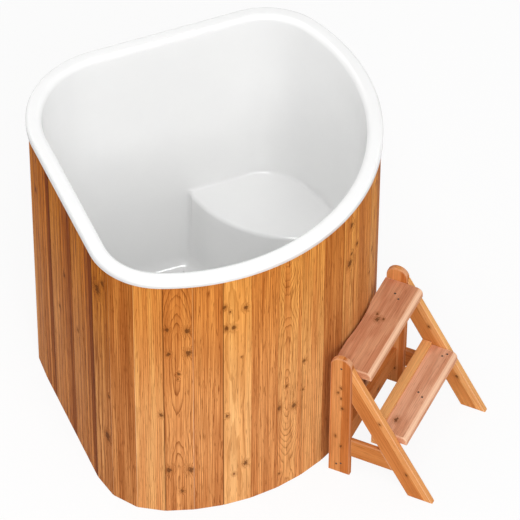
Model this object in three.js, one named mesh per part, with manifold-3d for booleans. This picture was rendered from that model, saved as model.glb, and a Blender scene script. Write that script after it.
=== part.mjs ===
// A cold plunge tub: a moulded liner with a corner seat, hung in a jacket of bead-and-cove staves,
// with a floor drain, a drain cock on the hidden side and a free-standing step unit.
// Millimetres, +Z up, +X from the tub towards its steps. The two straight sides stand square.
import * as THREE from 'three';
import { mergeVertices } from 'three/addons/utils/BufferGeometryUtils.js';
import Module from 'manifold-3d';

const wasm = await Module();
wasm.setup();

// Gap between pieces that touch on the real tub
const fit = 0.3;

// Plan, on the outer face of the staves: back corner, two sides, two shoulders, front arc
const cornerRadius = 301.5;
const sideLength = 495;
const shoulderRadius = 221.5;
const frontBulge = 274.9;

// Staves
const staveCount = 39;
const staveThickness = 20;
const staveFoot = 2;
const beadRadius = 5;
const seamChamfer = 1.5;

// Moulded liner: turned-down rim, drafted walls, floor
const rimTop = 1027;
const rimDrop = 27;
const rimOverhang = 5;
const rimGap = 1.5;
const rimWidth = 50;
const rimRound = 9;
const shell = 5;
const wallDraft = 16;
const floorTop = 45;
const floorFillet = 45;

// Corner seat, moulded into the shoulder on the +Y side
const seatHeight = 360;
const seatDepth = 281;
const seatFrontRadius = 415;
const seatEdgeRound = 14;

// Hoops that the staves are fixed to, and the bearers under the floor
const hoopHeight = 18;
const topHoopDrop = 40;
const bearerWidth = 70;
const bearerSpacing = 480;
const bearerSetback = 200;

// Floor drain and its pipe, which leaves through the middle of one stave
const drainStave = 6;
const drainRadius = 24;
const drainWall = 3;
const flangeRadius = 42;
const flangeThickness = 3;
const strainerRadius = 34;
const strainerThickness = 3;
const slotCount = 8;
const slotWidth = 5;
const slotInner = 10;
const slotOuter = 27;
const pipeHeight = 21;
const pipeRadius = 13;
const pipeWall = 2;
const spigotRadius = 16;
const spigotLength = 36;
const socketDepth = 14;

// Drain cock: a plug cock with a quarter-turn lever
const valveClearance = 8;
const valveLength = 64;
const valveRadius = 17;
const plugRadius = 12;
const plugBore = 8;
const plugFoot = 2;
const bossHeight = 24;
const stemRadius = 6;
const stemRise = 8;
const leverLength = 92;
const leverWidth = 18;
const leverThickness = 5;

// Step unit: stands a few degrees round the front arc from its middle
const stepsGap = 1;
const stepsTurn = -2.1;
const stepsWidth = 445;
const boardWidth = 72;
const boardThickness = 20;
const postHeight = 514;
const legAngle = 30.6;
const railFoot = 88;
const railWidth = 74;
const railThickness = 16;
const treadThickness = 30;
const treadGap = 8;
const upperTreadDrop = 48;
const upperOverhang = 48;
const lowerOverhang = 36;
const lowerTreadDepth = 88;
const nosingRadius = 20;
const riserWidth = 82;
const riserThickness = 32;
const riserRise = 11;
const edgeRound = 4;

// Facets on the round stretches
const cornerFacets = 12;
const shoulderFacets = 10;
const frontFacets = 22;
const pipeFacets = 24;
const seatFacets = 96;
const arcSteps = 5;

const right = Math.PI / 2;
const squareTurn = Math.PI / 4;

// Finishes
const finish = (color, roughness, metalness = 0) =>
  new THREE.MeshStandardMaterial({ color, roughness, metalness });
const staveWood = (tone) => finish(new THREE.Color(0xb4703c).offsetHSL(0, 0, tone), 0.6);
const finishes = {
  liner: finish(0xf6f6f4, 0.12),
  plywood: finish(0xc9a36b, 0.75),
  bearer: finish(0x8c7a4f, 0.8),
  stepWood: finish(0xd9934f, 0.55),
  treadWood: finish(0xc88a66, 0.55),
  steel: finish(0xc8cacc, 0.25, 1),
  plastic: finish(0x3a3c3e, 0.5),
  brass: finish(0xc2a25a, 0.35, 1),
};

// Solid modelling helpers
const toSolid = (geometry) => {
  const bare = geometry.clone();
  bare.deleteAttribute('normal');
  bare.deleteAttribute('uv');
  const merged = mergeVertices(bare, 1e-4);
  return new wasm.Manifold(new wasm.Mesh({
    numProp: 3,
    vertProperties: new Float32Array(merged.attributes.position.array),
    triVerts: new Uint32Array(merged.index.array),
  }));
};

const toGeometry = (solid) => {
  const mesh = solid.getMesh();
  const geometry = new THREE.BufferGeometry();
  geometry.setAttribute('position', new THREE.BufferAttribute(mesh.vertProperties, 3));
  geometry.setIndex(new THREE.BufferAttribute(mesh.triVerts, 1));
  geometry.computeVertexNormals();
  return geometry;
};

const named = (name, geometry, material) => {
  const mesh = new THREE.Mesh(geometry, material);
  mesh.name = name;
  return mesh;
};

const prism = (shape, bottom, height) =>
  new THREE.ExtrudeGeometry(shape, { depth: height, bevelEnabled: false, curveSegments: pipeFacets / 2 })
    .translate(0, 0, bottom);

const upright = (radius, bottom, top) =>
  new THREE.CylinderGeometry(radius, radius, top - bottom, pipeFacets)
    .rotateX(right)
    .translate(0, 0, (top + bottom) / 2);

const lying = (radius, start, end, height) =>
  new THREE.CylinderGeometry(radius, radius, end - start, pipeFacets)
    .rotateZ(right)
    .translate((start + end) / 2, 0, height);

const lathe = (profile, segments) =>
  new THREE.LatheGeometry(profile.map(([r, z]) => new THREE.Vector2(r, z)), segments).rotateX(right);

// Points of a quarter turn about (x, y), from one angle to another in degrees
const quarter = (x, y, radius, from, to) =>
  Array.from({ length: arcSteps + 1 }, (_, k) => {
    const angle = THREE.MathUtils.degToRad(from + (to - from) * k / arcSteps);
    return [x + radius * Math.cos(angle), y + radius * Math.sin(angle)];
  });

// Plan of the tub: centres of its arcs, and the angle where a shoulder meets the front arc
const sideStart = new THREE.Vector2(
  cornerRadius * (1 - Math.cos(squareTurn)), cornerRadius * Math.sin(squareTurn));
const sideEnd = sideStart.clone().addScalar(sideLength * Math.SQRT1_2);
const shoulder = new THREE.Vector2(
  sideEnd.x + shoulderRadius * Math.SQRT1_2, sideEnd.y - shoulderRadius * Math.SQRT1_2);
const frontSetback = (shoulder.y ** 2 - frontBulge ** 2) / (2 * frontBulge);
const frontCentre = shoulder.x - frontSetback;
const frontRadius = frontSetback + frontBulge + shoulderRadius;
const frontAngle = Math.atan2(shoulder.y, shoulder.x - frontCentre);
const sideAngle = 3 * squareTurn;

// The plan's ring at an inset from the staves' outer face, clockwise from the back corner
const planRing = (inset) => {
  const ring = [];
  const sweep = (x, y, radius, from, to, facets) => {
    for (let k = 0; k <= facets; k += 1) {
      const angle = from + (to - from) * k / facets;
      ring.push(new THREE.Vector2(x + radius * Math.cos(angle), y + radius * Math.sin(angle)));
    }
  };
  sweep(cornerRadius, 0, cornerRadius - inset, 2 * Math.PI - sideAngle, sideAngle, cornerFacets);
  sweep(shoulder.x, shoulder.y, shoulderRadius - inset, sideAngle, frontAngle, shoulderFacets);
  ring.pop();
  sweep(frontCentre, 0, frontRadius - inset, frontAngle, -frontAngle, frontFacets);
  ring.pop();
  sweep(shoulder.x, -shoulder.y, shoulderRadius - inset, -frontAngle, -sideAngle, shoulderFacets);
  return ring;
};

// A closed body lofted through plan rings, given as [inset, height] from the underside to the top face
const planLoft = (profile) => {
  const rings = profile.map(([inset, z]) => planRing(inset).map((p) => [p.x, p.y, z]));
  const count = rings[0].length;
  const position = rings.flat(2);
  const index = [];
  for (let level = 0; level + 1 < rings.length; level += 1) {
    for (let k = 0; k < count; k += 1) {
      const next = (k + 1) % count;
      const [a, b] = [level * count + k, level * count + next];
      index.push(a, a + count, b, b, a + count, b + count);
    }
  }
  const cap = (level, up) => {
    const flat = rings[level].map(([x, y]) => new THREE.Vector2(x, y));
    for (const [a, b, c] of THREE.ShapeUtils.triangulateShape(flat, [])) {
      const face = [a, b, c].map((k) => level * count + k);
      index.push(...(up ? face : face.reverse()));
    }
  };
  cap(0, false);
  cap(rings.length - 1, true);
  const geometry = new THREE.BufferGeometry();
  geometry.setAttribute('position', new THREE.Float32BufferAttribute(position, 3));
  geometry.setIndex(index);
  return geometry;
};

// Joints between staves: equally spaced points of the outer face, with the mitre direction at each
const planOutline = new THREE.Shape()
  .absarc(cornerRadius, 0, cornerRadius, Math.PI, sideAngle, true)
  .absarc(shoulder.x, shoulder.y, shoulderRadius, sideAngle, frontAngle, true)
  .absarc(frontCentre, 0, frontRadius, frontAngle, -frontAngle, true)
  .absarc(shoulder.x, -shoulder.y, shoulderRadius, -frontAngle, -sideAngle, true)
  .absarc(cornerRadius, 0, cornerRadius, -sideAngle, -Math.PI, true);
const seamPoints = planOutline.getSpacedPoints(staveCount).slice(0, staveCount);
const inward = (a, b) => new THREE.Vector2(b.y - a.y, a.x - b.x).normalize();
const seams = seamPoints.map((point, k) => {
  const before = seamPoints[(k + staveCount - 1) % staveCount];
  const after = seamPoints[(k + 1) % staveCount];
  const mitre = inward(before, point).add(inward(point, after)).normalize();
  const reach = 1 / mitre.dot(inward(point, after));
  return { point, mitre, reach };
});
const alongMitre = (seam, depth) => seam.point.clone().addScaledVector(seam.mitre, depth * seam.reach);
const staveBackRing = (clearance) => seams.map((seam) => alongMitre(seam, staveThickness + clearance));

// One stave's plan: a cove on its first edge, a bead on its second, chamfered outer corners
const staveShape = (first, second) => {
  const along = second.point.clone().sub(first.point).normalize();
  const middle = staveThickness / 2;
  const edge = (seam, depth, sign) => alongMitre(seam, depth).addScaledVector(along, sign * fit / 2);
  const round = (seam, radius, from, to) => {
    const centre = alongMitre(seam, middle);
    const across = new THREE.Vector2(-seam.mitre.y, seam.mitre.x);
    return quarter(0, 0, radius, from, to).slice(1, -1).map(([u, v]) =>
      centre.clone().addScaledVector(across, u).addScaledVector(seam.mitre, v));
  };
  const coveRadius = beadRadius + fit;
  return new THREE.Shape([
    edge(first, 0, 1).addScaledVector(along, seamChamfer),
    edge(second, 0, -1).addScaledVector(along, -seamChamfer),
    edge(second, seamChamfer, -1),
    edge(second, middle - beadRadius, -1),
    ...round(second, beadRadius, -90, 90),
    edge(second, middle + beadRadius, -1),
    edge(second, staveThickness, -1),
    edge(first, staveThickness, 1),
    edge(first, middle + coveRadius, 1),
    ...round(first, coveRadius, 90, -90),
    edge(first, middle - coveRadius, 1),
    edge(first, seamChamfer, 1),
  ]);
};

// Insets of the liner's wall: its inner face leans in towards the floor
const rimInner = rimWidth - rimOverhang;
const footInset = rimInner + wallDraft;
const wallInset = (z) => rimInner + wallDraft * (rimTop - z) / (rimTop - floorTop);
const rimUnder = rimTop - shell;
const floorUnder = floorTop - shell;

// The drain line runs from the floor drain square to the +Y side and out through its stave
const drainStaveMiddle = seams[drainStave - 1].point.clone().lerp(seams[drainStave].point, 0.5);
const drainSetback = drainStaveMiddle.x + drainStaveMiddle.y;
const sideOffset = (sideStart.y - sideStart.x) * Math.SQRT1_2;
const drainExit = sideOffset + drainSetback * Math.SQRT1_2;
const drainLine = new THREE.Group();
drainLine.position.set(drainSetback, 0, 0);
drainLine.rotation.z = sideAngle;
drainLine.updateMatrix();

// Liner: one lofted shell, with the seat moulded in as a shell and the drain hole cut
const buildLiner = () => {
  const filletInset = footInset + floorFillet;
  const filletTop = floorTop + floorFillet;
  const outside = [
    ...quarter(filletInset, filletTop, floorFillet + shell, 270, 180),
    [wallInset(rimUnder) - shell, rimUnder],
  ];
  const rim = [
    [-rimGap, rimUnder],
    [-rimGap, rimTop - rimDrop],
    [-rimOverhang, rimTop - rimDrop],
    ...quarter(rimRound - rimOverhang, rimTop - rimRound, rimRound, 180, 90),
    ...quarter(rimInner - rimRound, rimTop - rimRound, rimRound, 90, 0),
  ];
  const inside = quarter(filletInset, filletTop, floorFillet, 180, 270);
  const cup = toSolid(planLoft([...outside, ...rim, ...inside]));
  const filled = toSolid(planLoft(outside));

  const seatCentre = shoulder.y + shoulderRadius - wallInset(seatHeight) - seatDepth + seatFrontRadius;
  const seatBlock = (thinner, foot) => toSolid(lathe([
    [0, foot],
    [seatFrontRadius - thinner, foot],
    ...quarter(seatFrontRadius - seatEdgeRound, seatHeight - seatEdgeRound, seatEdgeRound - thinner, 0, 90),
    [0, seatHeight - thinner],
  ], seatFacets).translate(shoulder.x, seatCentre, 0));
  const seat = seatBlock(0, floorUnder + fit).intersect(filled);
  const hollow = seatBlock(shell, -floorTop);

  const drainHole = toSolid(upright(drainRadius + fit, 0, 2 * floorTop).applyMatrix4(drainLine.matrix));
  return toGeometry(cup.add(seat).subtract(hollow).subtract(drainHole));
};

// Staves, with the pipe's way cut through the foot of those that it meets
const buildStaves = () => {
  const pipeWay = toSolid(
    lying(pipeRadius + fit, drainExit - 4 * staveThickness, drainExit + staveThickness, pipeHeight)
      .applyMatrix4(drainLine.matrix));
  const top = rimUnder - fit;
  return seams.map((seam, k) => {
    const board = prism(staveShape(seam, seams[(k + 1) % staveCount]), staveFoot, top - staveFoot);
    const tone = 0.05 * Math.sin(2.4 * k);
    const number = String(k + 1).padStart(2, '0');
    return named(`stave_${number}`, toGeometry(toSolid(board).subtract(pipeWay)), staveWood(tone));
  });
};

// Hoops: flat rings between the staves and the liner
const buildHoop = (name, bottom, linerInset) => {
  const ring = new THREE.Shape(staveBackRing(fit));
  ring.holes.push(new THREE.Path(planRing(linerInset - fit).reverse()));
  return named(name, prism(ring, bottom, hoopHeight), finishes.plywood);
};

// Inset of the liner's underside at a height within its floor fillet
const filletInsetAt = (z) => {
  const rise = floorTop + floorFillet - z;
  return footInset + floorFillet - Math.sqrt((floorFillet + shell) ** 2 - rise ** 2);
};

// Bearers: planed joists laid along the drain line, trimmed to the staves' back
const buildBearers = () => {
  const bed = toSolid(prism(new THREE.Shape(staveBackRing(fit)), 0, floorUnder - fit));
  const span = 4 * frontRadius;
  return ['back', 'front'].map((place, k) => {
    const joist = new THREE.BoxGeometry(span, bearerWidth, 4 * floorTop)
      .translate(0, -(bearerSetback + k * bearerSpacing), 0)
      .rotateZ(sideAngle);
    return named(`base_bearer_${place}`, toGeometry(toSolid(joist).intersect(bed)), finishes.bearer);
  });
};

// Floor drain: a flanged cup with a side spigot that the pipe slides into
const socketRadius = pipeRadius + fit;
const flangeFoot = floorTop + fit;
const flangeTop = flangeFoot + flangeThickness;
const spigotEnd = drainRadius + spigotLength;
const pipeStart = spigotEnd - socketDepth + fit;
const buildDrain = () => {
  const cupFoot = pipeHeight - spigotRadius;
  const cup = toSolid(lathe([
    [0, cupFoot],
    [drainRadius, cupFoot],
    [drainRadius, flangeFoot],
    [flangeRadius, flangeFoot],
    [flangeRadius - flangeThickness, flangeTop],
    [0, flangeTop],
  ], pipeFacets));
  const well = toSolid(upright(drainRadius - drainWall, cupFoot + drainWall, 2 * floorTop));
  const spigot = toSolid(lying(spigotRadius, 0, spigotEnd, pipeHeight));
  const bore = toSolid(lying(pipeRadius - pipeWall, 0, spigotEnd, pipeHeight));
  const socket = toSolid(lying(socketRadius, spigotEnd - socketDepth, 2 * spigotEnd, pipeHeight));
  return toGeometry(cup.add(spigot).subtract(well).subtract(bore).subtract(socket));
};

// Strainer: a slotted disc laid on the flange
const buildStrainer = () => {
  const disc = new THREE.Shape().absarc(0, 0, strainerRadius, 0, 2 * Math.PI);
  for (let k = 0; k < slotCount; k += 1) {
    const turn = 2 * Math.PI * k / slotCount;
    const [c, s] = [Math.cos(turn), Math.sin(turn)];
    const end = (reach, from) => [reach * c, reach * s, slotWidth / 2, turn + from, turn + from + Math.PI];
    disc.holes.push(new THREE.Path().absarc(...end(slotInner, right)).absarc(...end(slotOuter, -right)));
  }
  return new THREE.ExtrudeGeometry(disc, {
    depth: strainerThickness, bevelEnabled: false, curveSegments: arcSteps + 1,
  }).translate(0, 0, flangeTop + fit);
};

// Drain pipe, from the drain's socket to the cock's
const valveStart = drainExit + valveClearance;
const pipeEnd = valveStart + socketDepth - fit;
const buildPipe = () => {
  const ring = new THREE.Shape().absarc(0, 0, pipeRadius, 0, 2 * Math.PI);
  ring.holes.push(new THREE.Path().absarc(0, 0, pipeRadius - pipeWall, 0, 2 * Math.PI));
  return prism(ring, 0, pipeEnd - pipeStart).rotateY(right).translate(pipeStart, 0, pipeHeight);
};

// Cock: body with a crossing plug well, plug with its bore closed at rest, lever on the stem
const plugAxis = valveStart + valveLength / 2;
const bossTop = pipeHeight + bossHeight;
const wellFoot = pipeHeight - plugRadius - plugFoot;
const buildValveBody = () => {
  const barrel = toSolid(lying(valveRadius, valveStart, valveStart + valveLength, pipeHeight));
  const boss = toSolid(upright(valveRadius, pipeHeight, bossTop).translate(plugAxis, 0, 0));
  const well = toSolid(upright(plugRadius + fit, wellFoot, 2 * bossTop).translate(plugAxis, 0, 0));
  const bore = toSolid(lying(plugBore, valveStart, 2 * plugAxis, pipeHeight));
  const socket = toSolid(lying(socketRadius, 0, valveStart + socketDepth, pipeHeight));
  return toGeometry(barrel.add(boss).subtract(well).subtract(bore).subtract(socket));
};

const leverFoot = bossTop + fit;
const stemTop = leverFoot + leverThickness + stemRise;
const buildPlug = () => {
  const plug = toSolid(lathe([
    [0, wellFoot + fit],
    [plugRadius, wellFoot + fit],
    [plugRadius, bossTop - fit],
    [stemRadius, bossTop - fit],
    [stemRadius, stemTop],
    [0, stemTop],
  ], pipeFacets));
  const bore = toSolid(lying(plugBore, -2 * plugRadius, 2 * plugRadius, pipeHeight).rotateZ(right));
  return toGeometry(plug.subtract(bore)).translate(plugAxis, 0, 0);
};

const buildLever = () => {
  const half = leverWidth / 2;
  const grip = leverLength - half;
  const outline = new THREE.Shape()
    .absarc(0, 0, half, 0, Math.PI)
    .absarc(0, -grip, half * 0.7, Math.PI, 2 * Math.PI);
  outline.holes.push(new THREE.Path().absarc(0, 0, stemRadius + fit, 0, 2 * Math.PI));
  return prism(outline, leverFoot, leverThickness).translate(plugAxis, 0, 0);
};

// Step unit, in its own group: x from the back of its posts, y from its middle
const legLean = THREE.MathUtils.degToRad(legAngle);
const postArc = boardWidth / 2;
const legTop = postHeight - postArc;
const legFront = boardWidth + fit + legTop * Math.tan(legLean);
const legFootWidth = boardWidth / Math.cos(legLean);
const legFrontAt = (z) => legFront - z * Math.tan(legLean);
const legBackAt = (z) => legFrontAt(z) - legFootWidth;
const innerHalf = stepsWidth / 2 - boardThickness;

// A board cut from an outline in x and z, with eased edges, its middle at y
const sideBoard = (shape, thickness, y) =>
  new THREE.ExtrudeGeometry(shape, {
    depth: thickness - 2 * edgeRound,
    bevelThickness: edgeRound,
    bevelSize: edgeRound,
    bevelOffset: -edgeRound,
    bevelSegments: 2,
    curveSegments: cornerFacets,
  }).rotateX(right).translate(0, y + thickness / 2 - edgeRound, 0);

const outlineOf = (points) => new THREE.Shape(points.map(([x, y]) => new THREE.Vector2(x, y)));

const postShape = new THREE.Shape()
  .moveTo(0, 0)
  .lineTo(boardWidth, 0)
  .absarc(postArc, legTop, postArc, 0, Math.PI);

const legShape = outlineOf([
  [legFront - legFootWidth, 0],
  [legFront, 0],
  [boardWidth + fit, legTop],
  [boardWidth + fit, legTop - boardWidth / Math.sin(legLean)],
]);

const railTop = railFoot + railWidth;
const sideRailShape = outlineOf([
  [boardWidth + fit, railFoot],
  [legBackAt(railFoot) - fit, railFoot],
  [legBackAt(railTop) - fit, railTop],
  [boardWidth + fit, railTop],
]);

const backRailStart = (boardWidth - boardThickness) / 2;
const backRailShape = outlineOf([
  [backRailStart, railFoot],
  [backRailStart + boardThickness, railFoot],
  [backRailStart + boardThickness, railTop],
  [backRailStart, railTop],
]);

// A tread's section in x and z, with a rounded nosing
const treadShape = (back, front, top) => outlineOf([
  [back, top - treadThickness],
  [front, top - treadThickness],
  ...quarter(front - nosingRadius, top - nosingRadius, nosingRadius, 0, 90),
  [back, top],
]);

const crossLength = 2 * (innerHalf - fit);
const crossBoard = (shape) => sideBoard(shape, crossLength, 0);

// Equal rises: the lower tread is half way up to the upper one
const upperTreadTop = postHeight - upperTreadDrop;
const lowerTreadTop = upperTreadTop / 2;
const upperTreadFront = legFrontAt(upperTreadTop) + upperOverhang;
const lowerTreadFront = legFrontAt(lowerTreadTop) + lowerOverhang;

// The upper tread's back edge is hollowed to the front arc
const stepsRadius = frontRadius + stepsGap;
const buildUpperTread = () => {
  const hollow = frontRadius + treadGap;
  const blank = toSolid(crossBoard(treadShape(0, upperTreadFront, upperTreadTop)));
  const tubRound = toSolid(
    new THREE.CylinderGeometry(hollow, hollow, 2 * postHeight, 2 * seatFacets)
      .rotateX(right)
      .translate(-stepsRadius, 0, postHeight));
  return toGeometry(blank.subtract(tubRound));
};

// Riser: a board on edge behind the lower tread, its top a little proud as a heel stop
const riserFront = lowerTreadFront - lowerTreadDepth - fit;
const riserTop = lowerTreadTop + riserRise;
const riserShape = outlineOf([
  [riserFront - riserThickness, riserTop - riserWidth],
  [riserFront, riserTop - riserWidth],
  [riserFront, riserTop],
  [riserFront - riserThickness, riserTop],
]);

const stepsAngle = THREE.MathUtils.degToRad(stepsTurn);
const buildSteps = () => {
  const steps = new THREE.Group();
  steps.position.set(
    frontCentre + stepsRadius * Math.cos(stepsAngle), stepsRadius * Math.sin(stepsAngle), 0);
  steps.rotation.z = stepsAngle;
  for (const [side, sign] of [['left', -1], ['right', 1]]) {
    const y = sign * (stepsWidth - boardThickness) / 2;
    steps.add(
      named(`step_post_${side}`, sideBoard(postShape, boardThickness, y), finishes.stepWood),
      named(`step_leg_${side}`, sideBoard(legShape, boardThickness, y), finishes.stepWood),
      named(`step_rail_${side}`, sideBoard(sideRailShape, railThickness, y), finishes.stepWood),
    );
  }
  const lowerTread = treadShape(lowerTreadFront - lowerTreadDepth, lowerTreadFront, lowerTreadTop);
  steps.add(
    named('step_back_rail', crossBoard(backRailShape), finishes.stepWood),
    named('step_upper_tread', buildUpperTread(), finishes.treadWood),
    named('step_lower_tread', crossBoard(lowerTread), finishes.treadWood),
    named('step_riser', crossBoard(riserShape), finishes.stepWood),
  );
  return steps;
};

// The whole: origin on the ground, under the middle of the overall box
const topHoopFoot = rimTop - topHoopDrop - hoopHeight;
const topHoopInset = wallInset(topHoopFoot + hoopHeight) - shell;
drainLine.add(
  named('drain_body', buildDrain(), finishes.plastic),
  named('drain_strainer', buildStrainer(), finishes.steel),
  named('drain_pipe', buildPipe(), finishes.plastic),
  named('valve_body', buildValveBody(), finishes.brass),
  named('valve_plug', buildPlug(), finishes.brass),
  named('valve_lever', buildLever(), finishes.steel),
);

const stepsReach = (stepsRadius + legFront) * Math.cos(stepsAngle)
  + (stepsWidth / 2 - edgeRound) * Math.abs(Math.sin(stepsAngle));

const tub = new THREE.Group();
tub.position.x = (rimOverhang - frontCentre - stepsReach) / 2;
tub.add(
  named('liner', buildLiner(), finishes.liner),
  ...buildStaves(),
  buildHoop('top_hoop', topHoopFoot, topHoopInset),
  buildHoop('bottom_hoop', floorUnder, filletInsetAt(floorUnder + hoopHeight)),
  ...buildBearers(),
  drainLine,
  buildSteps(),
);

export default tub;
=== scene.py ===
import math
import random
from functools import partial
import bmesh
import bpy
from mathutils import Matrix, Vector


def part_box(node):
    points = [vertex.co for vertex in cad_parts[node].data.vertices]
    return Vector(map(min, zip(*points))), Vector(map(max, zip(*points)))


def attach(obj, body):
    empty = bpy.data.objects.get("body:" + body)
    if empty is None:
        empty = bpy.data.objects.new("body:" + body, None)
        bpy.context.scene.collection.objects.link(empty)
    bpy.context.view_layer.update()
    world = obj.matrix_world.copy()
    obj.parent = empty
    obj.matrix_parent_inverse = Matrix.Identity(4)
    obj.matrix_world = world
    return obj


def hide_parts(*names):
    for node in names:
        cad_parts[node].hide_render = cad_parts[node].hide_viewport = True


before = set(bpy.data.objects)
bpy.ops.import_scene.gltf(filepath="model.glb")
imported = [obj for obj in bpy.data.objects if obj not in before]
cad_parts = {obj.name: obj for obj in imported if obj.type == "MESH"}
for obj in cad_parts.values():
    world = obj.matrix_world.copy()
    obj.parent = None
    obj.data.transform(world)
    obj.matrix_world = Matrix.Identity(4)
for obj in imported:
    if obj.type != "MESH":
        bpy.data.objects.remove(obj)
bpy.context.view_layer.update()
print("frame:", len(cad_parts), "CAD nodes")

mm = 0.001  # sizes below are millimetres, Blender works in metres
upAxis = Vector((0, 0, 1))


def hexColour(code):
    channels = [int(code[k:k + 2], 16) / 255 for k in (1, 3, 5)]
    linear = [c / 12.92 if c <= 0.04045 else ((c + 0.055) / 1.055) ** 2.4 for c in channels]
    return (*linear, 1.0)


def addNode(tree, kind, inputs={}, output=0, stops=(), blend="LINEAR", **settings):
    made = tree.nodes.new("ShaderNode" + kind)
    for key, value in settings.items():
        setattr(made, key, value)
    for key, value in inputs.items():  # a socket is linked, anything else is a value
        if isinstance(value, bpy.types.NodeSocket):
            tree.links.new(value, made.inputs[key])
        else:
            made.inputs[key].default_value = value
    if stops:
        ramp = made.color_ramp
        ramp.interpolation = blend
        while len(ramp.elements) < len(stops):
            ramp.elements.new(1.0)
        for element, (place, tone) in zip(ramp.elements, stops):
            element.position = place
            element.color = hexColour(tone) if isinstance(tone, str) else (tone, tone, tone, 1)
    return made.outputs[output] if made.outputs else None


def newMaterial(name):
    material = bpy.data.materials.new(name)
    material.use_nodes = True
    material.node_tree.nodes.clear()
    add = partial(addNode, material.node_tree)
    return material, add, add("TexCoord", output="Object")


def finishPiece(name, bm, material, body, nodes=()):
    mesh = bpy.data.meshes.new(name)
    bm.to_mesh(mesh)
    bm.free()
    mesh.materials.append(material)
    piece = bpy.data.objects.new(name, mesh)
    bpy.context.scene.collection.objects.link(piece)
    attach(piece, body)
    if nodes:
        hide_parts(*nodes)
    return piece


def shadeSmooth(bm, sharpAngle):
    for face in bm.faces:
        face.smooth = True
    for edge in bm.edges:
        edge.smooth = len(edge.link_faces) != 2 or edge.calc_face_angle() < math.radians(sharpAngle)


def easedCopy(node, offset, segments=2, sharpAngle=40):
    bm = bmesh.new()  # the CAD solid with its loose triangles merged and its sharp edges eased
    bm.from_mesh(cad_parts[node].data)
    bmesh.ops.remove_doubles(bm, verts=bm.verts, dist=0.02 * mm)
    bmesh.ops.dissolve_limit(bm, angle_limit=math.radians(0.5), verts=bm.verts, edges=bm.edges)
    sharp = [e for e in bm.edges if e.is_manifold and e.calc_face_angle() > math.radians(sharpAngle)]
    if offset:
        bmesh.ops.bevel(bm, geom=sharp, offset=offset * mm, affect="EDGES", segments=segments,
                        profile=0.5, material=-1, clamp_overlap=True)
    shadeSmooth(bm, sharpAngle)
    return bm


def keepFacesFlat(piece):
    weighted = piece.modifiers.new("flat faces stay flat", "WEIGHTED_NORMAL")
    weighted.keep_sharp = True


# The tub's own frame: millimetres from the outer face of the staves at the back corner
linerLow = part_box("liner")[0]
tubPlan = dict(
    cornerRadius=301.5, sideLength=495, shoulderRadius=221.5, frontBulge=274.9,
    rimTop=1027, rimDrop=27, rimOverhang=5, rimWidth=50, rimRound=9, rimInnerRound=20, shell=3.5,
    wallDraft=16, floorTop=45, floorFillet=45,
    seatHeight=360, seatDepth=281, seatFrontRadius=415, seatEdgeRound=14, seatBackFillet=14,
)
backCorner = Vector((linerLow.x + tubPlan["rimOverhang"] * mm, 0, 0))


# Camera at the photograph's viewing angle
cameraView = dict(azimuth=22.43, elevation=45.70, roll=0.376, distance=13572.9, lens=301.37,
                  target=(722.45, 60.34, 500))


def placeCamera():
    azimuth, elevation, roll = (math.radians(cameraView[k]) for k in ("azimuth", "elevation", "roll"))
    back = Vector((math.sin(azimuth) * math.cos(elevation), -math.cos(azimuth) * math.cos(elevation),
                   math.sin(elevation)))
    level = (-back).cross(upAxis).normalized()
    rise = level.cross(-back)
    across = level * math.cos(roll) + rise * math.sin(roll)
    upright = rise * math.cos(roll) - level * math.sin(roll)
    camera = bpy.data.objects.new("photo_camera", bpy.data.cameras.new("photo_camera"))
    camera.data.lens = cameraView["lens"]
    camera.data.sensor_width = 36
    camera.data.clip_end = 100
    place = backCorner + (Vector(cameraView["target"]) + back * cameraView["distance"]) * mm
    camera.matrix_world = Matrix.Translation(place) @ Matrix((across, upright, back)).transposed().to_4x4()
    bpy.context.scene.collection.objects.link(camera)
    bpy.context.scene.camera = camera


placeCamera()
print("camera placed")


# Gelcoat: sprayed in a polished mould, so it looks wet and even, with soft waves in its reflections
gelcoatLook = dict(white="#F9F9F8", shade="#F5F5F5", roughness=0.11, mottleSize=140, waveSize=60,
                   waveDepth=0.05)


def gelcoat():
    material, add, place = newMaterial("moulded_white_gelcoat")
    mottle = add("TexNoise", {"Vector": place, "Detail": 2, "Scale": 1 / (gelcoatLook["mottleSize"] * mm)})
    tone = add("Mix", {"Factor": mottle, "A": hexColour(gelcoatLook["white"]),
                       "B": hexColour(gelcoatLook["shade"])}, output="Result", data_type="RGBA")
    gloss = add("MapRange", {"Value": mottle, "To Min": gelcoatLook["roughness"] - 0.03,
                             "To Max": gelcoatLook["roughness"] + 0.05})
    wave = add("TexNoise", {"Vector": place, "Detail": 1, "Scale": 1 / (gelcoatLook["waveSize"] * mm)})
    bump = add("Bump", {"Height": wave, "Strength": 0.3, "Distance": gelcoatLook["waveDepth"] * mm})
    shader = add("BsdfPrincipled", {"Base Color": tone, "Roughness": gloss, "Normal": bump, "IOR": 1.5})
    add("OutputMaterial", {"Surface": shader})
    return material


# Liner: one moulded skin, drawn as a plan ring that is extruded level by level
linerMesh = dict(spacing=9, wallLevels=10, roundLevels=7, topLevels=6, frontLevels=6, cornerSmoothing=26,
                 cornerReach=13, seatFade=(6, 46), drainSegments=48)


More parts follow.
